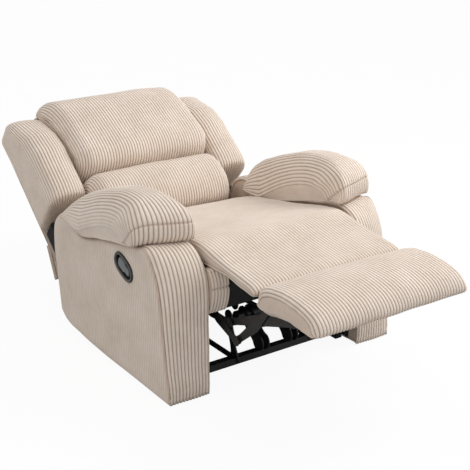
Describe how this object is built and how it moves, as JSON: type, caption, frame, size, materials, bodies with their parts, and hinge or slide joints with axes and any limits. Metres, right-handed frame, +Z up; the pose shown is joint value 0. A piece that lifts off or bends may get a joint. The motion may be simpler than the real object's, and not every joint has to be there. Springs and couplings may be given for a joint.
{
  "type": "recliner armchair",
  "caption": "Padded corduroy recliner armchair with pillow arms, split back cushions, swing-out footrest and a recessed pull latch, shown fully reclined.",
  "frame": {"origin": "on the floor, under the middle of the fully reclined chair's bounding box", "axes": "+Z up, the chair faces -Y, +X is the sitter's left"},
  "size_m": [0.956, 1.8066, 0.7204],
  "materials": {
    "corduroy": "wide-wale corduroy, cream",
    "black_cloth": "non-woven dust cloth",
    "black_steel": "satin black paint on stamped steel",
    "spring_steel": "bare spring wire",
    "timber": "sawn plywood and pine",
    "latch_plastic": "fine moulded grain",
    "lever_plastic": "fine moulded grain",
    "rubber": "matt black"
  },
  "bodies": {
    "base": {"arm_cover_left": "corduroy", "arm_cover_right": "corduroy", "arm_frame_left": "timber", "arm_frame_right": "timber", "arm_pad_left": "corduroy", "arm_pad_right": "corduroy", "base_plate_left": "black_steel", "base_plate_right": "black_steel", "base_rail_left": "black_steel", "base_rail_right": "black_steel", "arm_bracket_left": "black_steel", "arm_bracket_right": "black_steel", "base_foot_front_left": "rubber", "base_foot_front_right": "rubber", "base_foot_rear_left": "rubber", "base_foot_rear_right": "rubber", "base_front_rail": "black_steel", "base_rear_tube": "black_steel", "latch_bezel": "latch_plastic", "latch_cable": "rubber"},
    "latch_lever": {"latch_lever": "lever_plastic"},
    "swing_front_left": {"swing_link_front_left": "black_steel"},
    "swing_front_right": {"swing_link_front_right": "black_steel"},
    "swing_rear_left": {"swing_link_rear_left": "black_steel"},
    "swing_rear_right": {"swing_link_rear_right": "black_steel"},
    "seat": {"seat_side_rail_left": "timber", "seat_side_rail_right": "timber", "seat_plate_left": "black_steel", "seat_plate_right": "black_steel", "seat_front_rail": "black_cloth", "seat_rear_rail": "timber", "seat_spring_1": "spring_steel", "seat_spring_2": "spring_steel", "seat_spring_3": "spring_steel", "seat_dust_cloth": "black_cloth", "seat_cushion": "corduroy"},
    "calf": {"calf_pad": "corduroy"},
    "foot": {"foot_board": "timber", "foot_pad": "corduroy", "foot_bracket_left": "black_steel", "foot_bracket_right": "black_steel"},
    "drive_left": {"drive_link_left": "black_steel", "drive_tube": "black_steel"},
    "lift_left": {"lift_link_left": "black_steel"},
    "cross_left": {"cross_link_left": "black_steel"},
    "reach_left": {"reach_link_left": "black_steel"},
    "drive_right": {"drive_link_right": "black_steel"},
    "lift_right": {"lift_link_right": "black_steel"},
    "cross_right": {"cross_link_right": "black_steel"},
    "reach_right": {"reach_link_right": "black_steel"},
    "back": {"back_frame": "timber", "back_strap_left": "black_steel", "back_strap_right": "black_steel", "lumbar_cushion": "corduroy", "head_cushion": "corduroy", "wing_left": "corduroy", "wing_right": "corduroy", "back_rear_panel": "corduroy", "back_flap": "corduroy"}
  },
  "joints": [
    {"name": "recline", "type": "hinge", "parent": "base", "child": "swing_front_left", "pos_m": [0.2725, -0.206, 0.105], "axis": [1, 0, 0], "range_deg": [-28, 0]},
    {"name": "swing_front_right_turn", "type": "hinge", "parent": "base", "child": "swing_front_right", "pos_m": [-0.2725, -0.206, 0.105], "axis": [1, 0, 0], "range_deg": [-28.01, 0]},
    {"name": "swing_rear_left_turn", "type": "hinge", "parent": "base", "child": "swing_rear_left", "pos_m": [0.2725, 0.225, 0.113], "axis": [1, 0, 0], "range_deg": [-39.01, 0]},
    {"name": "swing_rear_right_turn", "type": "hinge", "parent": "base", "child": "swing_rear_right", "pos_m": [-0.2725, 0.225, 0.113], "axis": [1, 0, 0], "range_deg": [-39.01, 0]},
    {"name": "seat_tilt", "type": "hinge", "parent": "swing_front_left", "child": "seat", "pos_m": [0, -0.267, 0.22], "axis": [1, 0, 0], "range_deg": [0, 33.01]},
    {"name": "back_fold", "type": "hinge", "parent": "seat", "child": "back", "pos_m": [0, 0.214, 0.24], "axis": [1, 0, 0], "range_deg": [0, 33.01]},
    {"name": "footrest", "type": "hinge", "parent": "seat", "child": "calf", "pos_m": [0, -0.481, 0.454], "axis": [1, 0, 0], "range_deg": [0, 76]},
    {"name": "foot_fold", "type": "hinge", "parent": "calf", "child": "foot", "pos_m": [0, -0.623, 0.412], "axis": [1, 0, 0], "range_deg": [0, 10.01]},
    {"name": "drive_left_turn", "type": "hinge", "parent": "seat", "child": "drive_left", "pos_m": [0.2635, -0.3, 0.298], "axis": [1, 0, 0], "range_deg": [0, 60.51]},
    {"name": "lift_left_turn", "type": "hinge", "parent": "drive_left", "child": "lift_left", "pos_m": [0.2535, -0.487, 0.209], "axis": [1, 0, 0], "range_deg": [-71.95, 0]},
    {"name": "cross_left_turn", "type": "hinge", "parent": "seat", "child": "cross_left", "pos_m": [0.2585, -0.248, 0.257], "axis": [1, 0, 0], "range_deg": [0, 132.48]},
    {"name": "reach_left_turn", "type": "hinge", "parent": "cross_left", "child": "reach_left", "pos_m": [0.2485, -0.443, 0.253], "axis": [1, 0, 0], "range_deg": [-123.55, 0]},
    {"name": "drive_right_turn", "type": "hinge", "parent": "seat", "child": "drive_right", "pos_m": [-0.2635, -0.3, 0.298], "axis": [1, 0, 0], "range_deg": [0, 60.51]},
    {"name": "lift_right_turn", "type": "hinge", "parent": "drive_right", "child": "lift_right", "pos_m": [-0.2535, -0.487, 0.209], "axis": [1, 0, 0], "range_deg": [-71.95, 0]},
    {"name": "cross_right_turn", "type": "hinge", "parent": "seat", "child": "cross_right", "pos_m": [-0.2585, -0.248, 0.257], "axis": [1, 0, 0], "range_deg": [0, 132.48]},
    {"name": "reach_right_turn", "type": "hinge", "parent": "cross_right", "child": "reach_right", "pos_m": [-0.2485, -0.443, 0.253], "axis": [1, 0, 0], "range_deg": [-123.55, 0]},
    {"name": "latch_pull", "type": "hinge", "parent": "base", "child": "latch_lever", "pos_m": [-0.459, -0.18358, 0.37392], "axis": [0, -0.4114, 0.9115], "range_deg": [0, 25], "stiffness_Nm_per_rad": 0.4}
  ],
  "couplings": [
    {"joint": "swing_front_right_turn", "follows": "recline", "ratio": 1},
    {"joint": "swing_rear_left_turn", "follows": "recline", "ratio": 1.3928},
    {"joint": "swing_rear_right_turn", "follows": "recline", "ratio": 1.3928},
    {"joint": "seat_tilt", "follows": "recline", "ratio": -1.1786},
    {"joint": "back_fold", "follows": "recline", "ratio": -1.1786},
    {"joint": "foot_fold", "follows": "footrest", "ratio": 0.13158},
    {"joint": "drive_left_turn", "follows": "footrest", "ratio": 0.79609},
    {"joint": "lift_left_turn", "follows": "footrest", "ratio": -0.94661},
    {"joint": "cross_left_turn", "follows": "footrest", "ratio": 1.743},
    {"joint": "reach_left_turn", "follows": "footrest", "ratio": -1.6255},
    {"joint": "drive_right_turn", "follows": "footrest", "ratio": 0.79609},
    {"joint": "lift_right_turn", "follows": "footrest", "ratio": -0.94661},
    {"joint": "cross_right_turn", "follows": "footrest", "ratio": 1.743},
    {"joint": "reach_right_turn", "follows": "footrest", "ratio": -1.6255}
  ]
}
